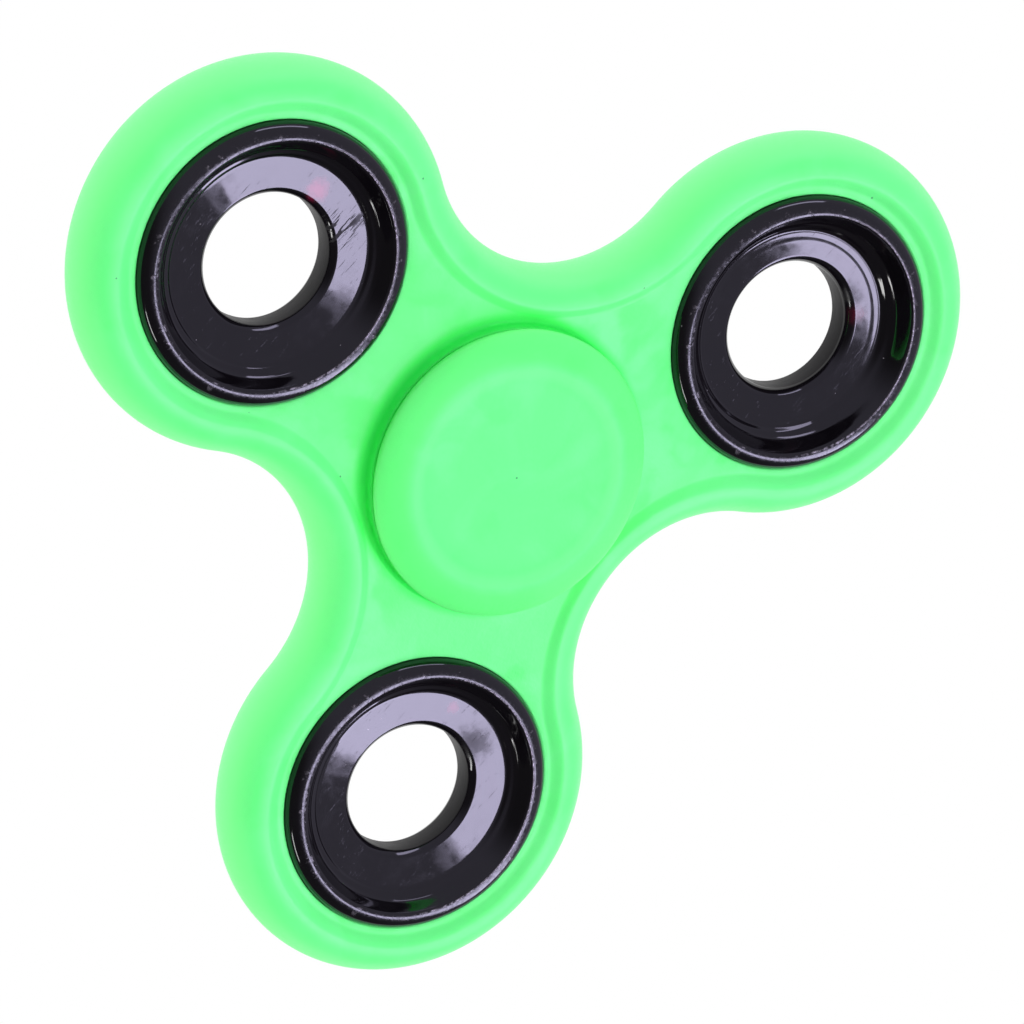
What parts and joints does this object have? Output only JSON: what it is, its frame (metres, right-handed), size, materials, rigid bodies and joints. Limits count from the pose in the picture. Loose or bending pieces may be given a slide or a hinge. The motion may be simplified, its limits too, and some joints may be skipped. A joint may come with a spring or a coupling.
{
  "type": "fidget spinner",
  "caption": "Three-lobed moulded spinner body with pressed-in dished ring weights, turning on a shielded ball bearing held between two round finger pads.",
  "frame": {"origin": "centre of the bearing, on the spin axis at half the thickness", "axes": "+Z along the spin axis through the top pad; +Y through the centre of the first lobe's weight"},
  "size_m": [0.0766, 0.0705, 0.0116],
  "materials": {
    "body_plastic": "moulded, glossy rim and matte spark-eroded web",
    "pad_plastic": "moulded, satin",
    "weight_plating": "gloss black plating worn bright along the crest",
    "race_steel": "ground bearing steel",
    "ball_steel": "polished bearing steel",
    "cage_steel": "pressed strip",
    "rivet_steel": "cold headed wire",
    "shield_steel": "pressed sheet"
  },
  "bodies": {
    "hub": {"top_cap": "pad_plastic", "bottom_cap": "pad_plastic", "inner_race": "race_steel"},
    "rotor": {"body": "body_plastic", "weight_1": "weight_plating", "weight_2": "weight_plating", "weight_3": "weight_plating", "outer_race": "race_steel", "shield_top": "shield_steel", "shield_bottom": "shield_steel"},
    "cage": {"cage_upper": "cage_steel", "cage_lower": "cage_steel", "cage_rivet_1": "rivet_steel", "cage_rivet_2": "rivet_steel", "cage_rivet_3": "rivet_steel", "cage_rivet_4": "rivet_steel", "cage_rivet_5": "rivet_steel", "cage_rivet_6": "rivet_steel", "cage_rivet_7": "rivet_steel"},
    "ball_1_roll": {"ball_1": "ball_steel"},
    "ball_2_roll": {"ball_2": "ball_steel"},
    "ball_3_roll": {"ball_3": "ball_steel"},
    "ball_4_roll": {"ball_4": "ball_steel"},
    "ball_5_roll": {"ball_5": "ball_steel"},
    "ball_6_roll": {"ball_6": "ball_steel"},
    "ball_7_roll": {"ball_7": "ball_steel"}
  },
  "joints": [
    {"name": "body_spin", "type": "hinge", "parent": "hub", "child": "rotor", "pos_m": [0, 0, 0], "axis": [0, 0, 1], "continuous": true},
    {"name": "cage_orbit", "type": "hinge", "parent": "hub", "child": "cage", "pos_m": [0, 0, 0], "axis": [0, 0, 1], "continuous": true},
    {"name": "ball_1_spin", "type": "hinge", "parent": "cage", "child": "ball_1_roll", "pos_m": [0.0075, 0, 0], "axis": [0, 0, 1], "continuous": true},
    {"name": "ball_2_spin", "type": "hinge", "parent": "cage", "child": "ball_2_roll", "pos_m": [0.00468, 0.00586, 0], "axis": [0, 0, 1], "continuous": true},
    {"name": "ball_3_spin", "type": "hinge", "parent": "cage", "child": "ball_3_roll", "pos_m": [-0.00167, 0.00731, 0], "axis": [0, 0, 1], "continuous": true},
    {"name": "ball_4_spin", "type": "hinge", "parent": "cage", "child": "ball_4_roll", "pos_m": [-0.00676, 0.00325, 0], "axis": [0, 0, 1], "continuous": true},
    {"name": "ball_5_spin", "type": "hinge", "parent": "cage", "child": "ball_5_roll", "pos_m": [-0.00676, -0.00325, 0], "axis": [0, 0, 1], "continuous": true},
    {"name": "ball_6_spin", "type": "hinge", "parent": "cage", "child": "ball_6_roll", "pos_m": [-0.00167, -0.00731, 0], "axis": [0, 0, 1], "continuous": true},
    {"name": "ball_7_spin", "type": "hinge", "parent": "cage", "child": "ball_7_roll", "pos_m": [0.00468, -0.00586, 0], "axis": [0, 0, 1], "continuous": true}
  ],
  "couplings": [
    {"joint": "cage_orbit", "follows": "body_spin", "ratio": 0.6323},
    {"joint": "ball_1_spin", "follows": "body_spin", "ratio": 1.7573},
    {"joint": "ball_2_spin", "follows": "body_spin", "ratio": 1.7573},
    {"joint": "ball_3_spin", "follows": "body_spin", "ratio": 1.7573},
    {"joint": "ball_4_spin", "follows": "body_spin", "ratio": 1.7573},
    {"joint": "ball_5_spin", "follows": "body_spin", "ratio": 1.7573},
    {"joint": "ball_6_spin", "follows": "body_spin", "ratio": 1.7573},
    {"joint": "ball_7_spin", "follows": "body_spin", "ratio": 1.7573}
  ]
}
